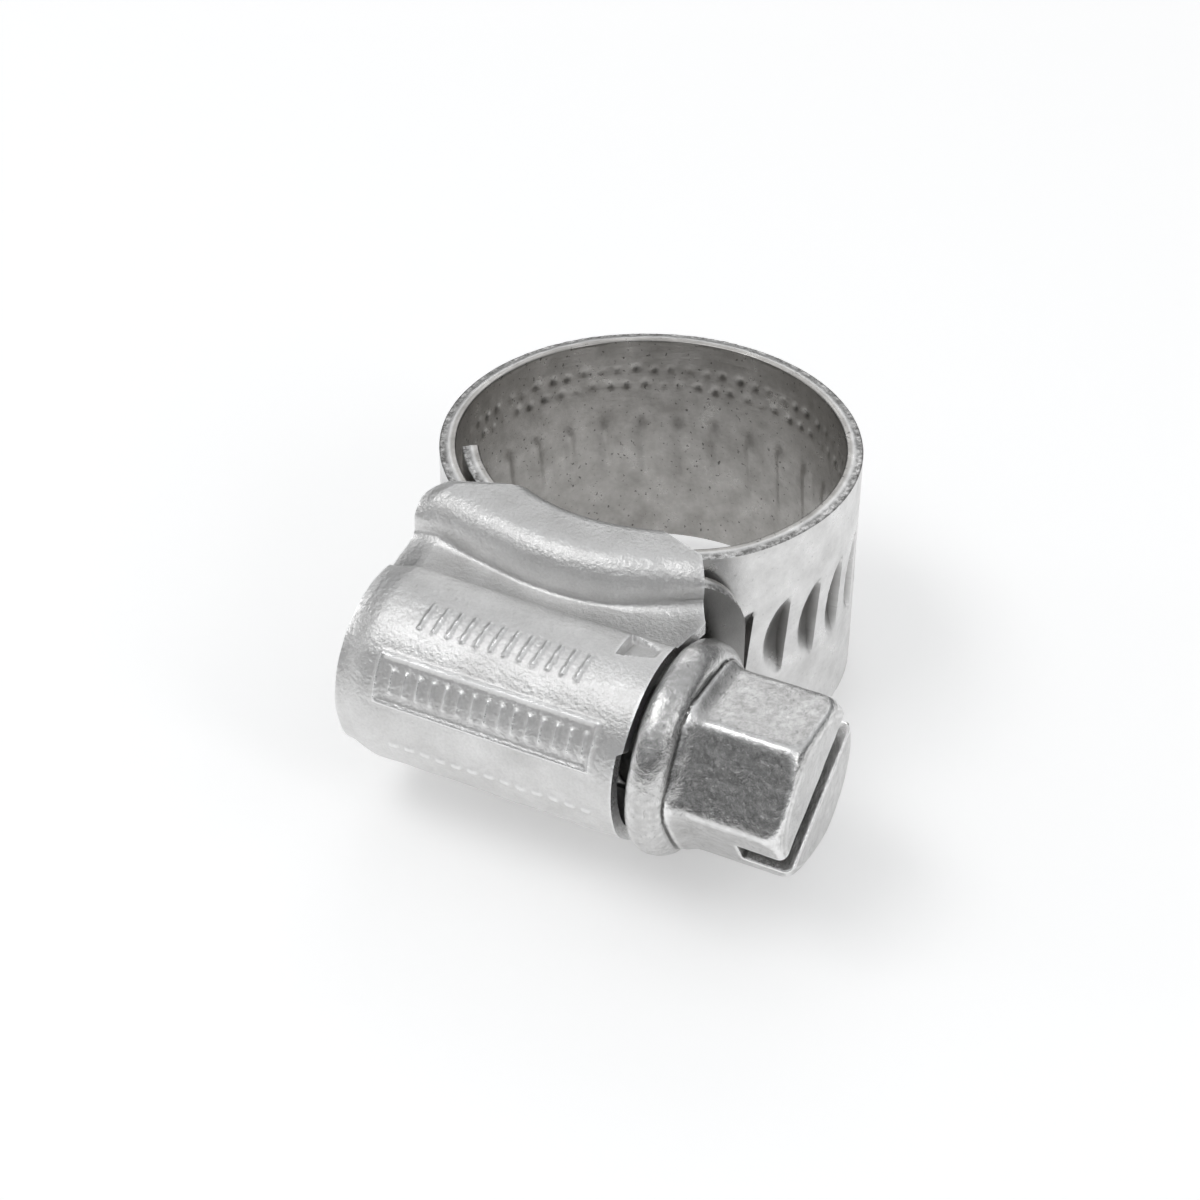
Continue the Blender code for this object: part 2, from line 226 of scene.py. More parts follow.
class Nodes:
    """Short calls for building one material's node tree."""

    def __init__(self, name):
        self.material = bpy.data.materials.new(name)
        self.material.use_nodes = True
        self.tree = self.material.node_tree
        self.shader = self.tree.nodes["Principled BSDF"]

    def add(self, kind, inputs=(), **settings):
        node = self.tree.nodes.new(kind)
        for key, value in settings.items():
            setattr(node, key, value)
        for socket, value in dict(inputs).items():
            self.put(node.inputs[socket], value)
        return node

    def put(self, socket, value):
        if isinstance(value, bpy.types.NodeSocket):
            self.tree.links.new(value, socket)
        else:
            socket.default_value = value

    def attribute(self, name):
        return self.add("ShaderNodeAttribute", attribute_name=name)

    def place(self, scale=(1, 1, 1)):
        place = self.attribute("place").outputs["Vector"]
        return self.add("ShaderNodeMapping", {"Vector": place, "Scale": scale}).outputs["Vector"]

    def noise(self, scale, detail=4.0, rough=0.55, stretch=(1, 1, 1), distort=0.0):
        inputs = {"Vector": self.place(stretch), "Scale": scale, "Detail": detail,
                  "Roughness": rough, "Distortion": distort}
        return self.add("ShaderNodeTexNoise", inputs).outputs["Fac"]

    def ramp(self, value, low, high, to_low=0.0, to_high=1.0):
        inputs = {"Value": value, "From Min": low, "From Max": high,
                  "To Min": to_low, "To Max": to_high}
        return self.add("ShaderNodeMapRange", inputs).outputs["Result"]

    def mark(self, index, most):
        """One of the piece's marks, which run from 0 to 1, scaled to reach most."""
        return self.ramp(self.part("marks", index), 0.0, 1.0, 0.0, most)

    def maths(self, operation, a, b=0.0):
        return self.add("ShaderNodeMath", {0: a, 1: b}, operation=operation).outputs[0]

    def mix(self, factor, a, b):
        node = self.add("ShaderNodeMix", {"Factor": factor}, data_type="RGBA")
        self.put(node.inputs[MIX_A], a)
        self.put(node.inputs[MIX_B], b)
        return node.outputs[MIX_RESULT]

    def part(self, name, index):
        split = self.add("ShaderNodeSeparateXYZ", {0: self.attribute(name).outputs["Vector"]})
        return split.outputs[index]

    def bump(self, height, strength, distance, normal=None):
        inputs = {"Height": height, "Strength": strength, "Distance": distance * MM}
        if normal is not None:
            inputs["Normal"] = normal
        return self.add("ShaderNodeBump", inputs).outputs["Normal"]

    def finish(self, colour, roughness, normal):
        self.put(self.shader.inputs["Base Color"], colour)
        self.put(self.shader.inputs["Roughness"], roughness)
        self.put(self.shader.inputs["Normal"], normal)
        self.shader.inputs["Metallic"].default_value = 1.0
        return self.material


def grey(value, warm=0.0):
    """A grey, leaning to yellow by warm."""
    return (value * (1 + warm), value, value * (1 - 1.4 * warm), 1.0)


def housing_steel():
    """Satin sheet: an even fine grain, faint worn patches, a painted highlight on its folds and painted shade
    in its creases.
    """
    n = Nodes("housing_steel")
    grain = n.noise(9.0, detail=6.0, rough=0.65)
    patches = n.noise(0.55, detail=5.0, rough=0.6)
    scratches = n.noise(2.2, detail=4.0, rough=0.6, stretch=(1.0, 9.0, 9.0))
    peel = n.noise(5.5, detail=3.0, rough=0.5)
    base = n.mix(n.ramp(patches, 0.35, 0.70), grey(0.66, 0.006), grey(0.78, 0.003))
    base = n.mix(n.ramp(grain, 0.42, 0.75, 0.0, 0.25), base, grey(0.40, 0.008))
    # painted highlight on the folds, from mark 0
    base = n.mix(n.mark(0, 0.65), base, grey(0.88, 0.0))
    # painted shade in the creases, from mark 1
    base = n.mix(n.mark(1, 0.85), base, grey(0.14, 0.02))
    rough = n.ramp(patches, 0.30, 0.75, 0.43, 0.34)
    rough = n.maths("ADD", rough, n.ramp(scratches, 0.45, 0.75, 0.0, 0.08))
    rough = n.maths("SUBTRACT", rough, n.mark(0, 0.12))
    normal = n.bump(grain, 0.50, 0.045)
    normal = n.bump(peel, 0.55, 0.060, normal)
    return n.finish(base, rough, normal)


def strip_steel():
    """Rolled strip: bright outside and painted darker inside as shade, mottled and pitted, with torn metal
    along its sheared edges, and painted shade in the slots, in the punch marks and over the tail's tip.
    """
    n = Nodes("band_steel")
    mottle = n.noise(0.9, detail=7.0, rough=0.66)
    speck = n.noise(5.5, detail=3.0, rough=0.5)
    grain = n.noise(11.0, detail=5.0, rough=0.65)
    drawn = n.noise(3.0, detail=4.0, rough=0.6, stretch=(0.25, 3.0, 3.0))
    inner = n.ramp(n.part("place", 1), -0.05, -0.15)
    outer_tone = n.mix(n.ramp(mottle, 0.34, 0.68), grey(0.62, 0.006), grey(0.78, 0.004))
    # the inner face is painted darker as shade, and warmer in tint
    inner_painted_shade_tone = n.mix(n.ramp(mottle, 0.34, 0.68), grey(0.36, 0.030), grey(0.52, 0.022))
    base = n.mix(inner, outer_tone, inner_painted_shade_tone)
    mostly_inside = n.ramp(inner, 0.0, 1.0, 0.25, 1.0)
    specks = n.maths("MULTIPLY", n.ramp(speck, 0.645, 0.72, 0.0, 0.8), mostly_inside)
    base = n.mix(specks, base, grey(0.10, 0.03))
    tears = n.ramp(n.noise(4.5, detail=4.0, rough=0.7), 0.38, 0.62)
    torn = n.maths("MULTIPLY", n.part("marks", 0), tears)
    base = n.mix(torn, base, grey(0.22, 0.015))
    # painted shade in the pressed slots and over the tail's tip
    base = n.mix(n.mark(1, 0.75), base, grey(0.20, 0.02))
    # painted shade in the punch marks, by their depth
    base = n.mix(n.mark(2, 0.65), base, grey(0.14, 0.02))
    rough = n.ramp(mottle, 0.30, 0.72, 0.38, 0.24)
    rough = n.maths("ADD", rough, n.maths("MULTIPLY", torn, 0.25))
    normal = n.bump(grain, 0.25, 0.04)
    normal = n.bump(drawn, 0.15, 0.04, normal)
    normal = n.bump(mottle, 0.20, 0.05, normal)
    return n.finish(base, rough, normal)


def screw_steel():
    """Cold-formed steel: dark mottled faces, edges worn bright with a painted highlight, and painted shade in
    the corners.
    """
    n = Nodes("screw_steel")
    mottle = n.noise(1.6, detail=8.0, rough=0.7, distort=0.4)
    scratch = n.noise(3.4, detail=5.0, rough=0.62, stretch=(1.3, 0.9, 0.9), distort=1.6)
    grain = n.noise(12.0, detail=5.0, rough=0.7)
    base = n.mix(n.ramp(mottle, 0.36, 0.66), grey(0.50, 0.008), grey(0.64, 0.004))
    base = n.mix(n.ramp(scratch, 0.60, 0.67, 0.0, 0.45), base, grey(0.16, 0.012))
    # edges worn bright, with a painted highlight, from mark 0
    base = n.mix(n.mark(0, 0.92), base, grey(0.90, 0.002))
    # painted shade in the corners, from mark 1
    base = n.mix(n.mark(1, 0.95), base, grey(0.07, 0.02))
    rough = n.ramp(mottle, 0.32, 0.70, 0.24, 0.14)
    rough = n.maths("SUBTRACT", rough, n.mark(0, 0.08))
    normal = n.bump(grain, 0.25, 0.03)
    normal = n.bump(scratch, 0.45, 0.05, normal)
    normal = n.bump(mottle, 0.25, 0.07, normal)
    return n.finish(base, rough, normal)


def floor_paint():
    """White paper that glows a little, so that it stays white under the object."""
    n = Nodes("floor")
    cloud = n.add("ShaderNodeTexNoise", {"Scale": 3.0, "Detail": 2.0}).outputs["Fac"]
    for socket, value in (("Base Color", n.mix(cloud, grey(0.93), grey(0.96))), ("Roughness", 0.75),
                          ("Emission Color", grey(1.0)), ("Emission Strength", 0.28)):
        n.put(n.shader.inputs[socket], value)
    return n.material


HOUSING_STEEL = housing_steel()
STRIP_STEEL = strip_steel()
SCREW_STEEL = screw_steel()


# ---------------------------------------------------------------- the strip's line

BASE_POINTS, BEND_POINTS, LOOP_POINTS, TAIL_POINTS = 500, 80, 1500, 500


def along_arc(centre, radius, a0, a1, count):
    """Places and headings along an arc."""
    a = np.radians(np.linspace(a0, a1, count))
    places = np.stack([centre[0] + radius * np.cos(a), centre[1] + radius * np.sin(a)], 1)
    return places, a + math.pi / 2


def centre_line():
    """The middle of the strip: places, headings and lengths run, from the tongue's end to the tail's tip.

    Three arcs, and a curve that eases from the first to the second."""
    base, base_h = along_arc(CHANNEL, BASE_R, TONGUE_END, BASE_LEAVES, BASE_POINTS)
    loop, loop_h = along_arc(LOOP, LOOP_R, BASE_JOINS, LAST_CUT, LOOP_POINTS)
    tail, tail_h = along_arc(CHANNEL, TAIL_R, LAST_CUT, TAIL_TIP, TAIL_POINTS)
    p0, p1 = base[-1], loop[0]
    span = np.linalg.norm(p1 - p0)
    t0 = span * np.array([math.cos(base_h[-1]), math.sin(base_h[-1])])
    t1 = span * np.array([math.cos(loop_h[0]), math.sin(loop_h[0])])
    u = np.linspace(0, 1, BEND_POINTS)[1:-1, None]
    bend = (2 * u ** 3 - 3 * u ** 2 + 1) * p0 + (u ** 3 - 2 * u ** 2 + u) * t0
    bend += (3 * u ** 2 - 2 * u ** 3) * p1 + (u ** 3 - u ** 2) * t1
    slope = (6 * u ** 2 - 6 * u) * (p0 - p1) + (3 * u ** 2 - 4 * u + 1) * t0
    slope = slope + (3 * u ** 2 - 2 * u) * t1
    points = np.concatenate([base, bend, loop, tail[1:]])
    bend_h = np.arctan2(slope[:, 1], slope[:, 0])
    heading = np.unwrap(np.concatenate([base_h, bend_h, loop_h, tail_h[1:]]))
    run = np.concatenate([[0.0], np.cumsum(np.linalg.norm(np.diff(points, axis=0), axis=1))])
    return points, heading, run


LINE, HEADING, RUN = centre_line()
RUN_LEAVES, RUN_LOOP, RUN_TAIL = RUN[np.cumsum([BASE_POINTS - 1, BEND_POINTS - 1, LOOP_POINTS - 1])]


def run_at_loop(angle):
    """The run along the strip, from a direction about LOOP; the next two take one about CHANNEL."""
    return RUN_LOOP + math.radians(angle - BASE_JOINS) * LOOP_R


def run_at_tail(angle):
    return RUN_TAIL + math.radians(angle - LAST_CUT) * TAIL_R


def run_at_base(angle):
    return math.radians(angle - TONGUE_END) * BASE_R


TAIL_STEP = SLOT_STEP * LOOP_R / TAIL_R
SLOTS = [run_at_loop(FIRST_CUT + SLOT_STEP * (i - 0.5)) for i in range(LOOP_SLOTS)]
SLOTS += [run_at_tail(LAST_CUT + TAIL_STEP * (i + 0.5)) for i in range(TAIL_SLOTS)]


def on_line(run, out, z):
    """Places in mm from a run along the strip, a distance out from its middle, and a height."""
    x = np.interp(run, RUN, LINE[:, 0])
    y = np.interp(run, RUN, LINE[:, 1])
    h = np.interp(run, RUN, HEADING)
    return np.stack([x + out * np.sin(h), y - out * np.cos(h), LOOP[2] + z], -1)


# ---------------------------------------------------------------- the strip's surface

SLOT_CURVE = 1.9  # how late the ramp of a slot falls
DIMPLE_ROWS, DIMPLE_STEP, DIMPLE_R = (3.45, 2.72), 0.76, 0.14
DIMPLE_DEEP, DIMPLE_VARIES = 0.03, 0.045
RIDGE_HIGH, RIDGE_SHIFT, RIDGE_R = 0.085, 0.30, 0.24
NARROWING, NARROWS_FROM, NARROWS_TO = 0.45, 4.7, 3.2  # on each side, and where, measured from the tip
LEANING_HALF = 2.6  # slots lean over this much of the strip's width on each side of their middle
WAVE, FINE_WAVE, EDGE_WAVE = 0.008, 0.004, 0.012  # unevenness of the faces and of the edges
EDGE_WORN, EDGE_TORN = 0.015, 0.045  # metal lost along the sheared edges: everywhere, and at most besides
TIP_SHADE, TIP_STARTS, TIP_FULL = 0.95, 6.5, 4.0  # painted shade on the outer face at the tip of the tail: how dark at most, and where it starts and is full, from the tip


def slot_depth(run, z):
    """Depth of the pressed slots: a ramp, deepest at a steep wall, as the worm's crest would cut it."""
    depth = np.zeros_like(run)
    rise = z - SLOT_Z
    for centre in SLOTS:
        a = run - centre
        near = (a > SLOT_RAMP) & (a < SLOT_WALL)
        back = np.clip((SLOT_WALL - a) / (SLOT_WALL - SLOT_RAMP), 0, 1)
        r = SLOT_R - (SLOT_DEEP + 0.02) * back ** SLOT_CURVE
        cut = np.sqrt(np.maximum(r ** 2 - rise ** 2, 0)) - (SLOT_R - SLOT_DEEP)
        depth = np.where(near, np.maximum(depth, cut), depth)
    return depth


def dimples(run, z):
    """Two staggered rows of small punch marks near the upper edge of the inner face."""
    depth = np.zeros_like(run)
    for row, height in enumerate(DIMPLE_ROWS):
        along = (run + row * DIMPLE_STEP / 2 + 0.06 * np.sin(run * 2.9 + row)) / DIMPLE_STEP
        number = np.round(along)
        gap = np.hypot((along - number) * DIMPLE_STEP, z - height - 0.05 * np.sin(number * 2.3))
        size = 0.5 + 0.5 * np.sin(number * 5.1 + 2 * row)
        punch = (DIMPLE_DEEP + DIMPLE_VARIES * size) * np.exp(-(gap / DIMPLE_R) ** 2)
        depth = np.maximum(depth, punch)
    return depth


def back_bulges(run, z):
    """The faint ridges that the slots leave on the inner face."""
    height = np.zeros_like(run)
    window = smooth(z, -2.3, -1.5) * (1 - smooth(z, 0.5, 1.3))
    for centre in SLOTS:
        height += RIDGE_HIGH * np.exp(-((run - centre - RIDGE_SHIFT) / RIDGE_R) ** 2)
    return height * window


def section(half, count=92, edge=7, corner=0.07):
    """One cross-section of the strip with a given half height: out, height and side, once round.

    The sides are 0 outside, 1 above, 2 inside and 3 below."""
    t = STRIP_T / 2
    rise = np.linspace(-(half - corner), half - corner, count)
    flat = np.linspace(t - corner, corner - t, edge)
    turn = np.radians([22.5, 45.0, 67.5])
    cs, sn = corner * np.cos(turn), corner * np.sin(turn)
    out = np.concatenate([np.full(count, t), t - corner + cs, flat, corner - t - sn,
                          np.full(count, -t), corner - t - cs, flat[::-1], t - corner + sn])
    z = np.concatenate([rise, half - corner + sn, np.full(edge, half), half - corner + cs,
                        rise[::-1], corner - half - sn, np.full(edge, -half), corner - half - cs])
    rim = edge + 2 * len(turn)
    side = np.repeat([0.0, 1.0, 2.0, 3.0], [count, rim, count, rim])
    return out, z, side


def half_height(run):
    """Half the strip's width: full, then a little narrower, then the rounded end of the tail."""
    left = RUN[-1] - run
    full, narrow = STRIP_H / 2, STRIP_H / 2 - NARROWING
    half = narrow + (full - narrow) * smooth(left, NARROWS_TO, NARROWS_FROM)
    drop = 1 - math.sqrt(max(0.0, 1 - max(0.0, (TAIL_ROUND - left) / TAIL_ROUND) ** 2))
    return half - drop * TAIL_ROUND


def stations(s0, s1):
    """Runs of the mesh's lines: evenly spaced, with more at each slot's wall and at the tail's tip."""
    lines = list(np.linspace(s0, s1, max(3, int(round((s1 - s0) / SPACING)) + 1)))
    for centre in SLOTS:
        for line in (SLOT_RAMP, SLOT_WALL - 0.05, SLOT_WALL, SLOT_WALL + 0.02):
            if s0 + 0.02 < centre + line < s1 - 0.02:
                lines = [x for x in lines if abs(x - centre - line) > 0.04 or x in (s0, s1)]
                lines.append(centre + line)
    if s1 > RUN[-1] - 1e-6:
        lines = [x for x in lines if x < s1 - TAIL_ROUND]
        lines += list(s1 - TAIL_ROUND * (1 - np.sin(np.linspace(0, math.pi / 2, 26))))
    return sorted(lines)


def strip_piece(name, s0, s1, inset=0.0):
    """The closed solid of the strip from run s0 to run s1, with everything pressed into it.

    An inset draws every face inwards, for the hidden lap that fills the seam when the loop changes size."""
    lines = stations(s0, s1)
    rows = []
    for line in lines:
        out, z, side = section(half_height(line))
        rows.append(np.stack([np.full(len(out), line), out, z, side], 1))
    grid = np.array(rows)
    count = grid.shape[1]
    run, out, z, side = grid.reshape(-1, 4).T
    face_out, face_in = side == 0, side == 2
    depth = np.where(face_out, slot_depth(run, z), 0.0)
    pits = np.where(face_in, dimples(run, z), 0.0)
    ridge = np.where(face_in, back_bulges(run, z), 0.0)
    torn = np.where(face_out | face_in, 0.0, smooth(out, 0.02, 0.12))

    wander = np.stack([run, z, side * 7.0], 1)
    new_out = out - depth + pits - ridge
    new_out = new_out + WAVE * lattice(wander, 1.3, 1) + FINE_WAVE * lattice(wander, 0.35, 2)
    ragged = lattice(np.stack([run, out * 0.6, side], 1), 0.16, 5) * 0.5 + 0.5
    new_z = z - np.sign(z) * torn * (EDGE_WORN + EDGE_TORN * ragged)
    new_z = new_z + EDGE_WAVE * lattice(np.stack([run, run * 0, side], 1), 2.1, 3)
    leaning = smooth(run, run_at_base(-100.0), RUN_LEAVES)
    leaning = leaning * (1 - smooth(run, RUN[-1] - TIP_FULL, RUN[-1] - TAIL_ROUND))
    rise = np.clip(z - SLOT_Z, -LEANING_HALF, LEANING_HALF)
    new_run = run + LEAN * rise * leaning
    points = on_line(new_run, new_out - inset * np.sign(out), new_z - inset * np.sign(z))

    # painted shade: over the outer face of the tail's tip, and in the pressed slots by their depth
    painted_tip_shade = TIP_SHADE * smooth(run, RUN[-1] - TIP_STARTS, RUN[-1] - TIP_FULL)
    painted_slot_and_tip_shade = np.where(face_out, np.maximum(smooth(depth, 0.05, 0.35), painted_tip_shade), 0.0)
    faces = []
    last = len(lines) - 1
    for i in range(last):
        a, b = i * count, (i + 1) * count
        for j in range(count):
            k = (j + 1) % count
            faces.append((a + j, b + j, b + k, a + k))
    faces.append(tuple(range(count)))
    faces.append(tuple(last * count + j for j in range(count))[::-1])
    obj = mesh_object(name, points, faces, STRIP_STEEL)
    store(obj.data, "place", np.stack([run, out, z], 1))
    # marks: torn edges, painted shade in the slots and at the tail's tip, painted shade in the punch marks
    store(obj.data, "marks", np.stack([torn, painted_slot_and_tip_shade, smooth(pits, 0.015, 0.06)], 1))
    soften(obj, 50)
    return obj


def world(run):
    """The middle of the strip at a run, in the frame's metres."""
    return tuple(on_line(np.array([run]), np.zeros(1), np.zeros(1))[0] * MM)


def blended_piece(name, s0, s1):
    """A piece of the strip, with its transform baked into its mesh."""
    piece = strip_piece(name, s0, s1)
    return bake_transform(piece)


def strip():
    """The strip in pieces that meet at the middles of the rigid lengths."""
    right = ["housing"] + ["right_%d" % (i + 1) for i in range(RIGHT_LINKS)]
    left = ["tail"] + ["left_%d" % (i + 1) for i in range(LEFT_LINKS)]
    hinge = run_at_base(TONGUE_CUT)
    tongue = blended_piece("strip_tongue", 0.0, hinge + 1.3)
    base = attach(strip_piece("strip_base", hinge + 1.3, RUN_LOOP), "housing")
    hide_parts("band_tongue")
    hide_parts("band_base")
    mids = [RUN_LOOP] + [run_at_loop(FIRST_CUT + LINK * (i + 0.5)) for i in range(RIGHT_LINKS)]
    for i in range(RIGHT_LINKS):
        piece = blended_piece("strip_right_%d" % (i + 1), mids[i], mids[i + 1])
        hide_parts("band_right_%d" % (i + 1))
    seam = run_at_loop(SEAM)
    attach(strip_piece("strip_right_end", mids[-1], run_at_loop(SEAM)), right[-1])
    lap = strip_piece("strip_seam_lap", seam - SEAM_ROOT, seam + SEAM_LAP, SEAM_INSET)
    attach(lap, right[-1])
    mids = [run_at_tail(LAST_CUT + 8.0)]
    mids += [run_at_loop(LAST_CUT - LINK * (i + 0.5)) for i in range(LEFT_LINKS)]
    for i in range(LEFT_LINKS):
        piece = blended_piece("strip_left_%d" % (i + 1), mids[i + 1], mids[i])
        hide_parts("band_left_%d" % (i + 1))
    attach(strip_piece("strip_left_end", run_at_loop(SEAM), mids[-1]), left[-1])
    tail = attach(strip_piece("strip_tail", mids[0], RUN[-1]), "tail")
    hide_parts("band_tail")


# ---------------------------------------------------------------- the housing

FLAP_R = BASE_R - STRIP_T / 2 - SHEET_GAP - SHEET  # the sheet's faces away from the strip
WALL_R = TAIL_R + STRIP_T / 2 + SHEET_GAP + SHEET
PLAIN_END, SCREW_END, END_CORNER = -127.0, -58.0, 10.5  # where the roll stops, and its rounded inner corners
PLAIN_REACH = -6.40  # the roll's web is cut flush here, at the barrel's plain end
FLAP_TIP_Z = 2.6
INNER_ROUND = 0.85
CROWN_WIDE, CROWN_HIGH, CROWN_SPREAD = 1.15, 1.30, 0.5
MIDDLE_SWELL, END_SWELL, LIP_SWELL = 0.16, 1.05, 0.30  # how far the roll bulges out along its length
DROOP = 0.16
WEB_Z, WEB_TURN = 3.72, 0.20  # the web joins the roll and the barrel
WEB_SPREAD, WEB_RISE = 0.75, 0.30  # how much wider and higher its bend grows towards the ends
BARREL_R, BARREL_START = 3.85, 104.0
BARREL_X0, BARREL_X1 = -5.70, 6.03
BARREL_TAPER, TAPER_LONG = 0.28, 1.3
VALLEY, VALLEY_WIDE = 0.13, 2.4


def between(low, high, u):
    """From low at station -1, the plain end, to high at station 1, the screw's end."""
    return (low + high) / 2 + (high - low) / 2 * u


def eased(x, low, high):
    """smooth, for a single number."""
    return float(smooth(x, low, high))


def arc(cx, cy, radius, a0, a1, steps, high=None):
    """Points of an arc, or of an ellipse where its height is given too."""
    a = np.radians(np.linspace(a0, a1, steps + 1))
    return list(zip(cx + radius * np.cos(a), cy + (high or radius) * np.sin(a)))


def saddle_profile(u):
    """Radius and height above the mid-plane, from the inner flap over the roll to the web, at one station."""
    end, lip = max(0.0, (-u - 0.3) / 0.7), eased(u, 0.72, 1.0)
    wall = WALL_R + MIDDLE_SWELL * (1 - eased(u, 0.2, 0.9)) + END_SWELL * end * end
    droop = DROOP * eased(-u, 0.90, 1.0)
    spread = max(eased(-u, 0.50, 0.95), 0.8 * eased(u, 0.35, 0.85))
    wide = CROWN_WIDE + CROWN_SPREAD * end * end
    turn, turn_high = WEB_TURN + WEB_SPREAD * spread, WEB_TURN + WEB_RISE * spread
    top = HALF_HEIGHT
    pts = [(FLAP_R, z) for z in np.linspace(FLAP_TIP_Z, top - INNER_ROUND, 15)[:-1]]
    pts += arc(FLAP_R + INNER_ROUND, top - INNER_ROUND, INNER_ROUND, 180, 90, 14)
    crown = arc(wall - wide, top - CROWN_HIGH, wide, 90, 0, 20, CROWN_HIGH)
    pts += [(r + LIP_SWELL * lip * (0.3 + 0.7 * eased(z, 4.1, 5.0)), z) for r, z in crown]
    web = WEB_Z - BARREL_R + barrel_radius(between(BARREL_X0, BARREL_X1, u))
    pts += arc(wall + turn, web + turn_high, turn, 180, 270, 8, turn_high)
    return [(r, z - droop * eased(z, 4.2, 5.5)) for r, z in pts]


def roll_ends(radius):
    """Where the roll stops at its plain end and at its screw end; the inner corners are rounded."""
    corner = END_CORNER * (1 - eased(radius, 7.1, 9.0))
    flush = -math.degrees(math.acos(max(-1.0, PLAIN_REACH / radius)))
    return max(PLAIN_END + corner, flush), SCREW_END - corner


def barrel_radius(x):
    """The barrel draws in over its plain end."""
    return BARREL_R - BARREL_TAPER * eased(-x, -(BARREL_X0 + TAPER_LONG), -BARREL_X0)


def housing_grid(columns=180, around=112):
    """The upper half of the sheet's outer face: at each station, the saddle and then the barrel."""
    grid = []
    for k in range(columns):
        u = -1 + 2 * k / (columns - 1)
        row = []
        for radius, z in saddle_profile(u):
            a = math.radians(between(*roll_ends(radius), u))
            row.append((CHANNEL[0] + radius * math.cos(a), CHANNEL[1] + radius * math.sin(a), LOOP[2] + z))
        x = between(BARREL_X0, BARREL_X1, u)
        for i in range(around):
            angle = BARREL_START * (1 - i / (around - 1))
            r = barrel_radius(x) - VALLEY * math.exp(-((BARREL_START - angle) / VALLEY_WIDE) ** 2)
            a = math.radians(angle)
            row.append((LOOP[0] + x, SCREW[1] - r * math.cos(a), SCREW[2] + r * math.sin(a)))
        grid.append(row)
    return np.array(grid)


# ---------------------------------------------------------------- pressed decoration of the barrel

LINE_WIDE = 0.085
BARS = dict(count=12, first=-2.9, step=0.58, foot=(0, 3.95), top=(0.12, 4.95))
RIBS = dict(count=15, first=-3.3, step=0.56, foot=(0, 1.35), top=(0, 2.15))
DOTS = dict(count=13, first=-3.2, step=0.66, foot=(0, -0.95), top=(0.16, -0.95), width=0.16)
PANEL, PANEL_LINE = ((-3.9, 0.85), (4.9, 0.85), (4.9, 2.65), (-3.9, 2.65)), 0.10
BARREL_INSIDE, BARREL_OUTSIDE, BARREL_REACH = 2.9, 4.3, 109  # radii and angle that hold the barrel's sheet
EMBOSSED, WAVY = 0.11, 0.035  # heights of the decoration and of the sheet's waviness
DENT_X, DENT_LONG, DENT_DEEP, DENT_RISE = 4.35, 1.35, 0.40, 0.34
DENT_LOW, DENT_HIGH, DENT_EDGE = 80.0, 101.0, 1.8
END_STEP = 0.22  # how far the barrel's lower half is set back at the screw's end


def raised_line(x, y, ends, width=LINE_WIDE):
    """Height from 0 to 1 of a round-topped line between two points."""
    (x0, y0), (x1, y1) = ends
    dx, dy = x1 - x0, y1 - y0
    t = np.clip(((x - x0) * dx + (y - y0) * dy) / (dx * dx + dy * dy + 1e-9), 0, 1)
    return np.exp(-(np.hypot(x - x0 - t * dx, y - y0 - t * dy) / width) ** 2)


def raised_row(x, y, count, first, step, foot, top, width=LINE_WIDE):
    """Height from 0 to 1 of a row of equal lines, each from its foot to its top."""
    height = np.zeros_like(x)
    for i in range(count):
        at = first + step * i
        ends = ((at + foot[0], foot[1]), (at + top[0], top[1]))
        height = np.maximum(height, raised_line(x, y, ends, width))
    return height


def embossing(x, y):
    """A plain stand-in for the maker's embossed words: a row of bars, a ribbed panel and a row of dots.

    x runs along the barrel and y round it, both in mm from the middle of its front."""
    height = 0.8 * np.maximum(raised_row(x, y, **BARS), raised_row(x, y, **DOTS))
    height = np.maximum(height, 0.75 * raised_row(x, y, **RIBS))
    for ends in zip(PANEL, PANEL[1:] + PANEL[:1]):
        height = np.maximum(height, raised_line(x, y, ends, PANEL_LINE))
    return height


def lanced_dent(x, angle):
    """Depth of the triangular dent that locks the screw: deepest and widest away from the collar."""
    low = DENT_LOW + (x - DENT_X) * 4.5
    high = DENT_HIGH - (x - DENT_X) * 5.5
    inside = smooth(x, 4.32, 4.44) * (1 - smooth(x, 5.62, 5.74))
    inside = inside * smooth(angle, low, low + DENT_EDGE) * (1 - smooth(angle, high - DENT_EDGE, high))
    return inside * (DENT_DEEP - DENT_RISE * np.clip((x - DENT_X) / DENT_LONG, 0, 1))


def press_barrel(mesh):
    """Pushes decoration, dent and a slight waviness through the barrel's sheet, and sets its end back."""
    co = vectors(mesh) / MM
    out_y, out_z = co[:, 1] - SCREW[1], co[:, 2] - SCREW[2]
    radius = np.hypot(out_y, out_z)
    angle = np.degrees(np.arctan2(out_z, -out_y))
    x = co[:, 0] - LOOP[0]
    on_barrel = (radius < BARREL_OUTSIDE) & (radius > BARREL_INSIDE) & (np.abs(angle) < BARREL_REACH)
    around = np.radians(angle) * BARREL_R
    shift = EMBOSSED * embossing(x, around) - lanced_dent(x, angle)
    waves = lattice(np.stack([x, around, x * 0], 1), 1.1, 21)
    shift += WAVY * waves * (1 - smooth(angle, -10, 25))
    stepped = END_STEP * smooth(x, 4.6, 5.9)
    stepped = stepped * (1 - smooth(angle, 26.0, 29.0)) * smooth(angle, -103.0, -92.0)
    co[:, 0] -= np.where(on_barrel, stepped, 0.0)
    shift = np.where(on_barrel, shift, 0.0) / np.maximum(radius, 0.1)
    co[:, 1] += out_y * shift
    co[:, 2] += out_z * shift
    move_vertices(mesh, co)


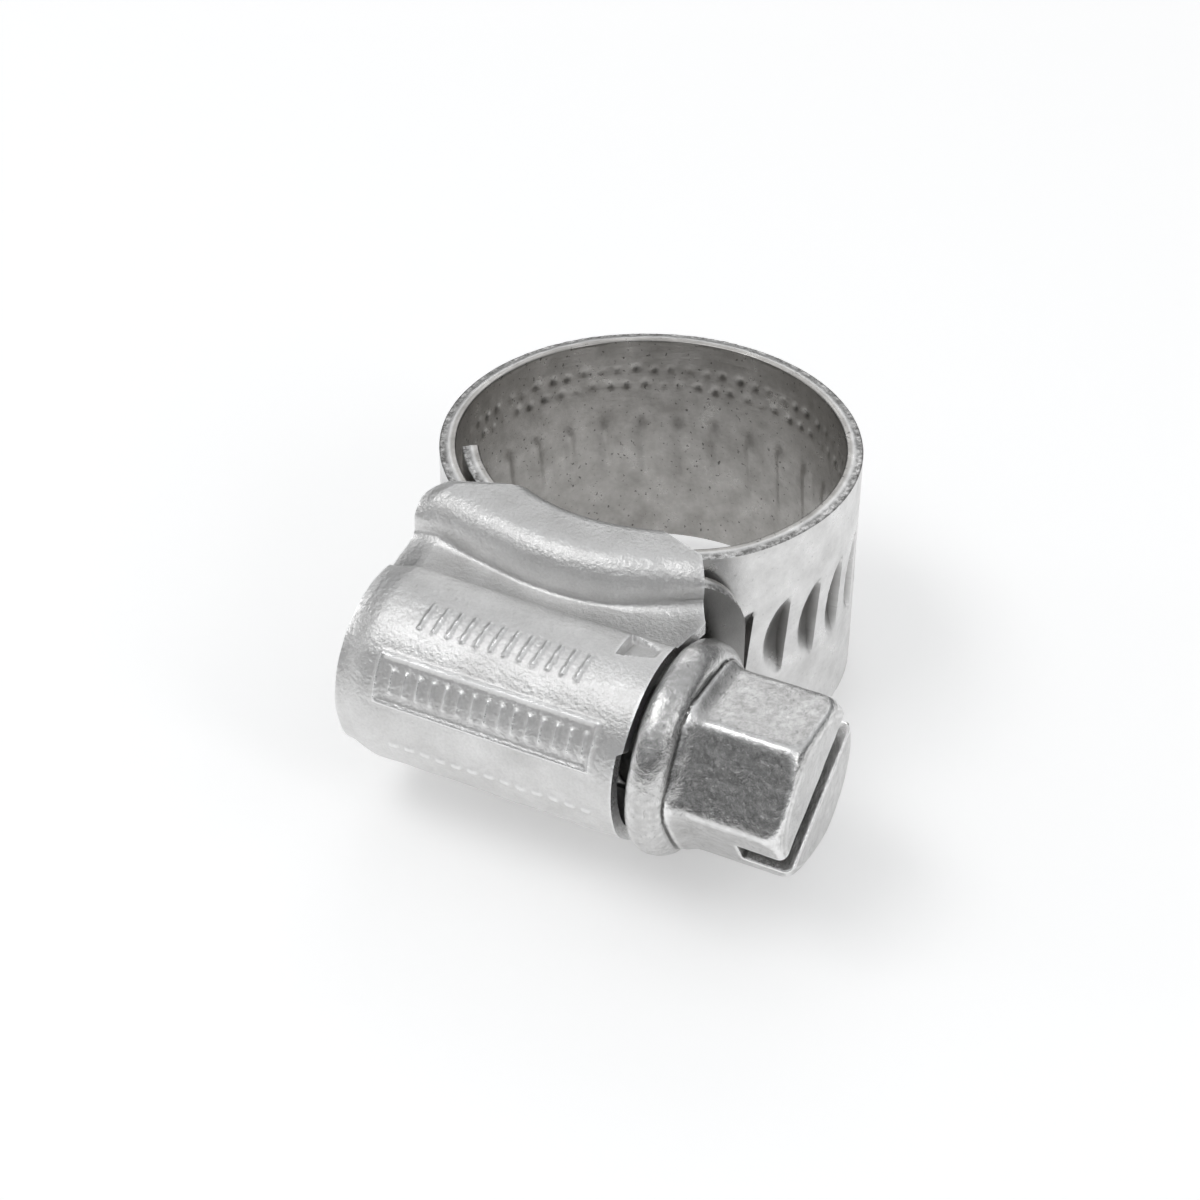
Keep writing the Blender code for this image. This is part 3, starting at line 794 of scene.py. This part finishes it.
def housing():
    """The folded sheet: its upper half, mirrored, thickened and pressed."""
    grid = housing_grid()
    columns, count = grid.shape[:2]
    faces = []
    for i in range(columns - 1):
        for j in range(count - 1):
            a = i * count + j
            faces.append((a, a + 1, a + count + 1, a + count))
    obj = mesh_object("housing_shell", grid.reshape(-1, 3), faces, HOUSING_STEEL)
    obj.data.transform(Matrix.Translation((0, 0, -LOOP[2] * MM)))
    mirror = obj.modifiers.new("Mirror", "MIRROR")
    mirror.use_axis = (False, False, True)
    mirror.merge_threshold = 0.00001
    wall = obj.modifiers.new("Sheet", "SOLIDIFY")
    wall.thickness = SHEET * MM
    wall.offset = -1.0
    wall.use_even_offset = True
    apply_modifiers(obj)
    obj.data.transform(Matrix.Translation((0, 0, LOOP[2] * MM)))
    press_barrel(obj.data)
    finish_solid(obj, 0.012, 50, 1.3, 0.15)
    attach(obj, "housing")
    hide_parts("housing")
    return obj


def finish_solid(obj, dents, angle, bright, dark):
    """Small dents over the whole surface, and marks for the material: edges worn bright with a painted
    highlight, and painted shade in the corners.
    """
    co = vectors(obj.data) / MM
    shift = dents * (lattice(co, 1.4, 11) + 0.5 * lattice(co, 0.5, 12) + 0.25 * lattice(co, 0.2, 13))
    co += vectors(obj.data, "normal") * shift[:, None]
    move_vertices(obj.data, co)
    bend = curvature(obj.data)
    # edges get real wear and a painted highlight; corners get painted shade
    rubbed_and_highlit, painted_corner_shade = smooth(bend * bright, 0.25, 1.6), smooth(-bend * dark, 0.35, 1.8)
    store(obj.data, "place", co)
    store(obj.data, "marks", np.stack([rubbed_and_highlit, painted_corner_shade, bend * 0], 1))
    soften(obj, angle)


# ---------------------------------------------------------------- the screw

COLLAR_BACK_R, COLLAR_BACK_LONG, COLLAR_BACK_HIGH = 3.55, 0.55, 0.52  # a quarter of an ellipse on each side
COLLAR_FRONT_R, COLLAR_FRONT_LONG, COLLAR_FRONT_HIGH = 3.38, 0.89, 0.69
NECK_X = 1.50  # from the collar's face to where the hexagon starts
NECK_SWELL = 0.34
HEAD_CONE, CONE_LONG, CONE_DROP = 3.62, 0.75, 0.62  # the turned cone that takes the hexagon's corners off
END_ROUND = 0.25
DRIVE_SLOT_W, DRIVE_SLOT_D, DRIVE_SLOT_TURN = 1.25, 1.9, 34
WORM_R, ROOT_R = 2.59, 1.85
WORM_PITCH = math.radians(SLOT_STEP) * LOOP_R * (TAIL_R + STRIP_T / 2) / TAIL_R
WORM_X0, WORM_X1, SHANK_X0 = -4.9, 5.0, -5.5
VOXEL = 0.055


def hex_radius(theta, across, power=34.0):
    """Radius of a hexagon with rounded corners; its flats face along 0, 60, 120 degrees."""
    sides = [np.cos(theta - math.radians(60 * k)) / (across / 2) for k in range(6)]
    return sum(np.maximum(0, side) ** power for side in sides) ** (-1 / power)


def round_about(turns):
    """Angles once round, evenly spaced."""
    return np.linspace(0, 2 * math.pi, turns, endpoint=False)


def turned(rings, turns):
    """A closed surface about local Z through rings of place and radius; a radius may vary round its ring."""
    theta = round_about(turns)
    points = [np.stack([r * np.cos(theta), r * np.sin(theta), np.full(turns, x)], 1) for x, r in rings]
    faces = []
    for i in range(len(rings) - 1):
        a, b = i * turns, (i + 1) * turns
        for j in range(turns):
            k = (j + 1) % turns
            faces.append((a + j, a + k, b + k, b + j))
    faces.append(tuple(range(turns))[::-1])
    faces.append(tuple((len(rings) - 1) * turns + j for j in range(turns)))
    return np.concatenate(points), faces


def head_mesh(turns=240):
    """Collar and hexagon as one surface, from the collar's face to the flat end."""
    hexagon = hex_radius(round_about(turns), HEX_AF)
    a, end = HEAD_X0, HEAD_X1
    bend = np.linspace(0, math.pi / 2, 16)
    rings = [(a, r) for r in (0.02, 1.2, 2.4, 3.3)]
    rings += [(a + COLLAR_BACK_LONG * (1 - math.cos(t)), COLLAR_BACK_R + COLLAR_BACK_HIGH * math.sin(t))
              for t in bend]
    rings += [(a + COLLAR_BACK_LONG + COLLAR_FRONT_LONG * math.sin(t),
               COLLAR_FRONT_R + COLLAR_FRONT_HIGH * math.cos(t)) for t in bend[1:]]
    for x in np.linspace(a + NECK_X, end - 0.02, 70):
        root = NECK_SWELL * math.exp(-((x - a - NECK_X) / 0.34) ** 2)
        cone = HEAD_CONE - CONE_DROP * max(0.0, (x - end + CONE_LONG) / CONE_LONG) ** 1.5
        r = -np.log(np.exp(-9 * (hexagon + root)) + np.exp(-9 * cone)) / 9
        if x > end - END_ROUND:
            r = r - END_ROUND * (1 - math.sqrt(max(0.0, 1 - ((x - end + END_ROUND) / END_ROUND) ** 2)))
        rings.append((x, r))
    outer = rings[-1][1]
    rings += [(end, outer * share) for share in (0.97, 0.85, 0.6, 0.35, 0.12, 0.01)]
    return turned(rings, turns)


def shank_mesh():
    """The plain shaft under the thread, which reaches into the collar."""
    rings = [(SHANK_X0, ROOT_R - 0.15), (SHANK_X0 + 0.15, ROOT_R), (HEAD_X0 + 0.5, ROOT_R)]
    return turned(rings, 96)


def thread_mesh(per_turn=48):
    """A right-hand trapezoid rib whose crest lies in the strip's slots; it fades out at both ends."""
    slot_x = CHANNEL[0] - LOOP[0] + (TAIL_R + STRIP_T / 2) * math.sin(
        math.radians(LAST_CUT - 270 + 3.5 * TAIL_STEP))
    phase = slot_x + 0.20
    start = phase - round((phase - WORM_X0) / WORM_PITCH) * WORM_PITCH
    count = int((WORM_X1 - WORM_X0) / WORM_PITCH * per_turn)
    fading = per_turn / 2
    points, faces = [], []
    for i in range(count + 1):
        angle = math.pi / 2 + 2 * math.pi * i / per_turn
        fade = min(1.0, i / fading, (count - i) / fading)
        crest = ROOT_R - 0.1 + (WORM_R - ROOT_R + 0.1) * fade
        x = start + WORM_PITCH * i / per_turn
        for r, dx in ((ROOT_R - 0.2, -0.36), (crest, -0.12), (crest, 0.12), (ROOT_R - 0.2, 0.30)):
            points.append((r * math.cos(angle), r * math.sin(angle), x + dx))
        if i:
            a, b = 4 * (i - 1), 4 * i
            faces += [(a + j, a + (j + 1) % 4, b + (j + 1) % 4, b + j) for j in range(4)]
    faces += [(0, 1, 2, 3), (4 * count + 3, 4 * count + 2, 4 * count + 1, 4 * count)]
    return np.array(points), faces


def tool_mesh(name, points, faces):
    """A closed mesh, from points in mm, whose faces all look outwards."""
    mesh = bpy.data.meshes.new(name)
    mesh.from_pydata((points * MM).tolist(), [], faces)
    bm = bmesh.new()
    bm.from_mesh(mesh)
    bmesh.ops.recalc_face_normals(bm, faces=bm.faces)
    bm.to_mesh(mesh)
    bm.free()
    return linked(name, mesh)


def slot_tool():
    """The box that cuts the driving slot across the flat end."""
    bm = bmesh.new()
    bmesh.ops.create_cube(bm, size=1.0)
    bmesh.ops.scale(bm, verts=bm.verts, vec=(12 * MM, DRIVE_SLOT_W * MM, 2 * DRIVE_SLOT_D * MM))
    turn = Matrix.Rotation(math.radians(90 + DRIVE_SLOT_TURN), 3, "Z")
    bmesh.ops.rotate(bm, verts=bm.verts, matrix=turn)
    bmesh.ops.translate(bm, verts=bm.verts, vec=(0, 0, HEAD_X1 * MM))
    cutter = linked("slot_tool", bpy.data.meshes.new("slot_tool"))
    bm.to_mesh(cutter.data)
    bm.free()
    return cutter


def screw():
    """Head, shank and thread joined by a fine remesh, which also rounds every edge a little."""
    head = tool_mesh("worm_screw_fine", *head_mesh())
    cutter = slot_tool()
    cut = head.modifiers.new("Slot", "BOOLEAN")
    cut.object, cut.operation, cut.solver = cutter, "DIFFERENCE", "EXACT"
    apply_modifiers(head)
    rest = [tool_mesh("thread_tool", *thread_mesh()), tool_mesh("shank_tool", *shank_mesh())]
    bm = bmesh.new()
    for obj in [head] + rest:
        bm.from_mesh(obj.data)
    bm.to_mesh(head.data)
    bm.free()
    for obj in rest + [cutter]:
        bpy.data.objects.remove(obj)
    remesh = head.modifiers.new("Unite", "REMESH")
    remesh.mode = "VOXEL"
    remesh.voxel_size = VOXEL * MM
    apply_modifiers(head)
    place = Matrix.Translation((LOOP[0] * MM, SCREW[1] * MM, SCREW[2] * MM))
    head.data.transform(place @ Matrix.Rotation(math.pi / 2, 4, "Y"))
    head.data.materials.clear()
    head.data.materials.append(SCREW_STEEL)
    finish_solid(head, 0.018, 60, 1.5, 1.1)
    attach(head, "screw")
    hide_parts("worm_screw")
    return head


# ---------------------------------------------------------------- studio

SOFTBOXES = (  # name, direction, distance in m, size in m, brightness
    ("key", (-0.36, -0.34, 0.87), 0.45, (0.30, 0.15), 2.7),
    ("back", (-0.30, 0.75, 0.60), 0.55, (0.30, 0.20), 0.9),
    ("side", (0.80, -0.25, 0.55), 0.50, (0.12, 0.22), 2.6),
    ("left", (-0.90, -0.30, 0.30), 0.50, (0.10, 0.20), 1.6))
SKY = ((0.0, 0.08), (0.32, 0.12), (0.50, 0.55), (1.0, 0.70))  # brightness from the nadir to the zenith
FLOOR_HALF, FLOOR_DROP = 1.5, 0.02  # half its side in m, and how far it lies below the object in mm
CAMERA_TURN, CAMERA_RISE, CAMERA_ROLL = 26.928, 36.315, 0.555
CAMERA_BACK, CAMERA_LEFT, CAMERA_DOWN = 109.73, 1.922, 2.296  # from the loop's middle
SENSOR, LENS = 36.0, 82.815


def softbox(name, place, size, radiance):
    """A rectangular light facing the object, set by how bright its surface looks."""
    data = bpy.data.lights.new(name, "AREA")
    data.shape = "RECTANGLE"
    data.size, data.size_y = size
    data.energy = radiance * math.pi * size[0] * size[1]
    obj = linked(name, data)
    obj.location = place
    obj.rotation_mode = "QUATERNION"
    obj.rotation_quaternion = (-place).to_track_quat("-Z", "Y")


def studio():
    """A white floor under a tent of light, with four softboxes."""
    mesh = bpy.data.meshes.new("floor")
    bm = bmesh.new()
    bmesh.ops.create_grid(bm, x_segments=1, y_segments=1, size=FLOOR_HALF)
    bm.to_mesh(mesh)
    bm.free()
    mesh.materials.append(floor_paint())
    floor = linked("floor", mesh)
    floor.location = (0, 0, -FLOOR_DROP * MM)
    tent()
    for name, direction, distance, size, radiance in SOFTBOXES:
        softbox(name, Vector(direction).normalized() * distance, size, radiance)
    bpy.context.scene.view_settings.view_transform = "Standard"


def tent():
    """Light from all round, brighter overhead than below, so that steel shows its curves."""
    world = bpy.data.worlds.new("studio")
    bpy.context.scene.world = world
    world.use_nodes = True
    tree = world.node_tree
    way = tree.nodes.new("ShaderNodeTexCoord")
    split = tree.nodes.new("ShaderNodeSeparateXYZ")
    ramp = tree.nodes.new("ShaderNodeValToRGB")
    tree.links.new(way.outputs["Generated"], split.inputs[0])
    tree.links.new(split.outputs["Z"], ramp.inputs[0])
    tree.links.new(ramp.outputs[0], tree.nodes["Background"].inputs["Color"])
    while len(ramp.color_ramp.elements) < len(SKY):
        ramp.color_ramp.elements.new(0.5)
    for element, (at, value) in zip(ramp.color_ramp.elements, SKY):
        element.position = at
        element.color = (value * 0.98, value * 0.99, value, 1)


def camera():
    """The viewing angle of the photograph, worked out from the rim of the loop."""
    turn, tilt, roll = np.radians([CAMERA_TURN, CAMERA_RISE, CAMERA_ROLL])
    back = Vector((math.sin(turn) * math.cos(tilt), -math.cos(turn) * math.cos(tilt), math.sin(tilt)))
    right = Vector((math.cos(turn), math.sin(turn), 0.0))
    up = back.cross(right)
    place = Vector(LOOP) + back * CAMERA_BACK - right * CAMERA_LEFT - up * CAMERA_DOWN
    right, up = (right * math.cos(roll) + up * math.sin(roll),
                 up * math.cos(roll) - right * math.sin(roll))
    data = bpy.data.cameras.new("camera")
    data.sensor_width = SENSOR
    data.lens = LENS
    data.clip_start, data.clip_end = 0.005, 5.0
    obj = linked("camera", data)
    facing = Matrix((right, up, back)).transposed().to_4x4()
    obj.matrix_world = Matrix.Translation(place * MM) @ facing
    bpy.context.scene.camera = obj


camera()
studio()
strip()
housing()
screw()
